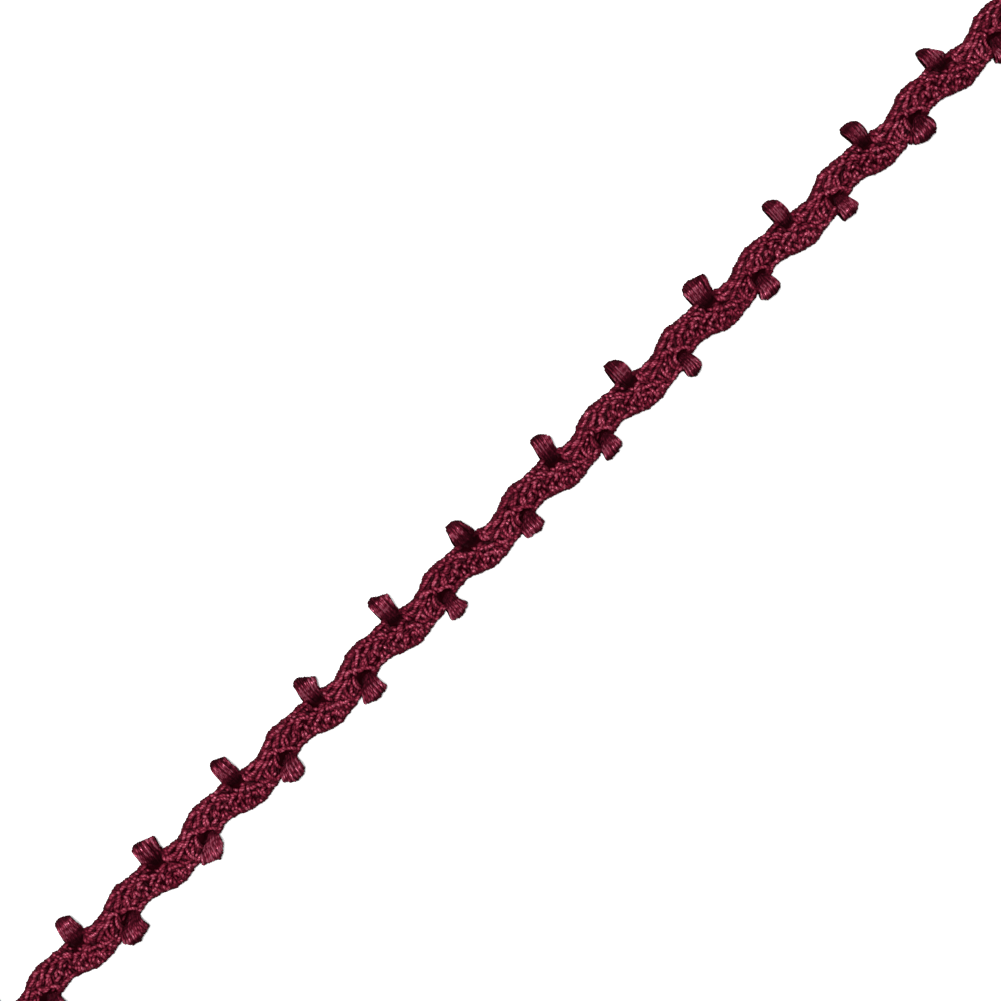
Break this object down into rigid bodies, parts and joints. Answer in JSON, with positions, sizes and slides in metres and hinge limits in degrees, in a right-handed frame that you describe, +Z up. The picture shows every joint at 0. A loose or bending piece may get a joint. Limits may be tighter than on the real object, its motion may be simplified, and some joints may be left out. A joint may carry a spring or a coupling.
{
  "type": "wavy crochet braid trim with picot loops",
  "caption": "Straight cut length of wavy crochet braid trim, with a silky picot loop standing out at each wave along both edges; lies flat.",
  "frame": {"origin": "under the middle of the trim, on the surface that it lies on", "axes": "+X along the trim, +Y across it towards the longer row of loops, +Z up out of its face"},
  "size_m": [0.256, 0.0132, 0.0025],
  "materials": {
    "braid_yarn": "burgundy viscose braid, soft sheen",
    "loop_silk": "burgundy silky thread, brighter sheen"
  },
  "bodies": {
    "root": {"braid_body": "braid_yarn", "loop_upper_01": "loop_silk", "loop_upper_02": "loop_silk", "loop_upper_03": "loop_silk", "loop_upper_04": "loop_silk", "loop_upper_05": "loop_silk", "loop_upper_06": "loop_silk", "loop_upper_07": "loop_silk", "loop_upper_08": "loop_silk", "loop_upper_09": "loop_silk", "loop_upper_10": "loop_silk", "loop_upper_11": "loop_silk", "loop_upper_12": "loop_silk", "loop_upper_13": "loop_silk", "loop_upper_14": "loop_silk", "loop_lower_01": "loop_silk", "loop_lower_02": "loop_silk", "loop_lower_03": "loop_silk", "loop_lower_04": "loop_silk", "loop_lower_05": "loop_silk", "loop_lower_06": "loop_silk", "loop_lower_07": "loop_silk", "loop_lower_08": "loop_silk", "loop_lower_09": "loop_silk", "loop_lower_10": "loop_silk", "loop_lower_11": "loop_silk", "loop_lower_12": "loop_silk", "loop_lower_13": "loop_silk"}
  },
  "joints": []
}
